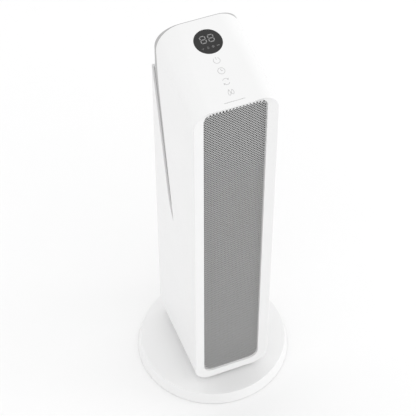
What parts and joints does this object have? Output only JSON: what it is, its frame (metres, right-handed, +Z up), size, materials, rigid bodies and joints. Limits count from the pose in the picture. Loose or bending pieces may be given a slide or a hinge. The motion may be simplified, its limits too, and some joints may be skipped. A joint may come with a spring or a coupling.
{
  "type": "ceramic tower heater",
  "caption": "Slim white tower fan heater with a tall grey grille, sloping touch panel and display, side slits and a swivelling round base.",
  "frame": {"origin": "centre of the round base on the floor", "axes": "+Z up along the swivel axis, -Y out of the front grille, +X to the viewer's right when facing the grille"},
  "size_m": [0.222, 0.222, 0.6],
  "materials": {
    "white_shell": "satin white moulded plastic",
    "grey_plastic": "fine-textured light grey plastic",
    "black_plastic": "matt black plastic",
    "grille_metal": "grey powder-coated perforated steel",
    "display_glass": "smoked glossy lens over the display",
    "light_grey_print": "pale grey touch symbols and light slit",
    "rubber": "matt black rubber",
    "steel": "zinc-plated steel",
    "cast_ballast": "dark coated ballast",
    "aluminium": "plain aluminium",
    "brass": "plain brass",
    "ceramic": "unglazed ceramic",
    "mica": "heat-resistant moulded frame",
    "circuit_board": "green solder mask",
    "white_pom": "white acetal",
    "wire_insulation": "coloured wire insulation",
    "filter_cloth": "open nylon dust mesh"
  },
  "bodies": {
    "base": {"base_cover": "white_shell", "base_plate": "grey_plastic", "ballast_ring": "cast_ballast", "rubber_feet": "rubber", "base_screws": "steel", "pivot_post": "grey_plastic", "glide_ring": "black_plastic", "ring_gear": "white_pom", "post_clip": "steel", "cord_gland": "rubber", "mains_lead_in": "rubber", "tip_switch_body": "black_plastic", "tip_spring": "steel"},
    "tower": {"front_shell": "white_shell", "grille_frame": "white_shell", "front_grille": "grille_metal", "air_screen": "filter_cloth", "inner_housing": "grey_plastic", "rear_cover": "white_shell", "rear_screws": "steel", "display_window": "display_glass", "display_module": "white_pom", "display_board": "circuit_board", "touch_icons": "light_grey_print", "touch_springs": "steel", "status_window": "light_grey_print", "swivel_hub": "grey_plastic", "hub_screws": "steel", "swing_bracket": "steel", "swing_motor": "aluminium", "motor_bracket": "steel", "fan_motor": "aluminium", "upper_bearing": "brass", "bearing_rubber": "rubber", "upper_bracket": "mica", "scroll_duct": "black_plastic", "duct_tongue": "black_plastic", "heater_frame": "mica", "heater_fins": "aluminium", "ptc_elements": "ceramic", "heater_terminals": "brass", "thermal_cutout": "black_plastic", "thermal_fuse": "aluminium", "power_board": "circuit_board", "board_parts": "black_plastic", "wiring_loom": "wire_insulation", "switch_housing": "black_plastic"},
    "tip_button": {"tip_plunger": "white_pom"},
    "pinion": {"swing_pinion": "white_pom", "swing_shaft": "steel"},
    "fan": {"motor_rotor": "steel", "fan_shaft": "steel", "fan_wheel": "black_plastic"},
    "filter": {"intake_grille": "white_shell", "filter_frame": "grey_plastic", "filter_mesh": "filter_cloth"},
    "rocker_switch": {"rocker": "black_plastic"}
  },
  "joints": [
    {"name": "swing", "type": "hinge", "parent": "base", "child": "tower", "pos_m": [0, 0, 0.027], "axis": [0, 0, 1], "range_deg": [-35, 35]},
    {"name": "pinion_spin", "type": "hinge", "parent": "tower", "child": "pinion", "pos_m": [0, 0.04, 0.034], "axis": [0, 0, 1], "range_deg": [-106, 106]},
    {"name": "fan_spin", "type": "hinge", "parent": "tower", "child": "fan", "pos_m": [0.002, 0.012, 0.3], "axis": [0, 0, 1], "continuous": true},
    {"name": "rocker_tilt", "type": "hinge", "parent": "tower", "child": "rocker_switch", "pos_m": [0, 0.0683, 0.054], "axis": [0, 0, 1], "range_deg": [-18, 0]},
    {"name": "filter_slide", "type": "slide", "parent": "tower", "child": "filter", "axis": [0, 1, 0], "range_m": [0, 0.04]},
    {"name": "tip_press", "type": "slide", "parent": "base", "child": "tip_button", "axis": [0, 0, -1], "range_m": [0, 0.0035], "stiffness_N_per_m": 200, "springref_m": 0.008, "deforming": ["tip_spring"]}
  ],
  "couplings": [
    {"joint": "pinion_spin", "follows": "swing", "ratio": 3}
  ]
}
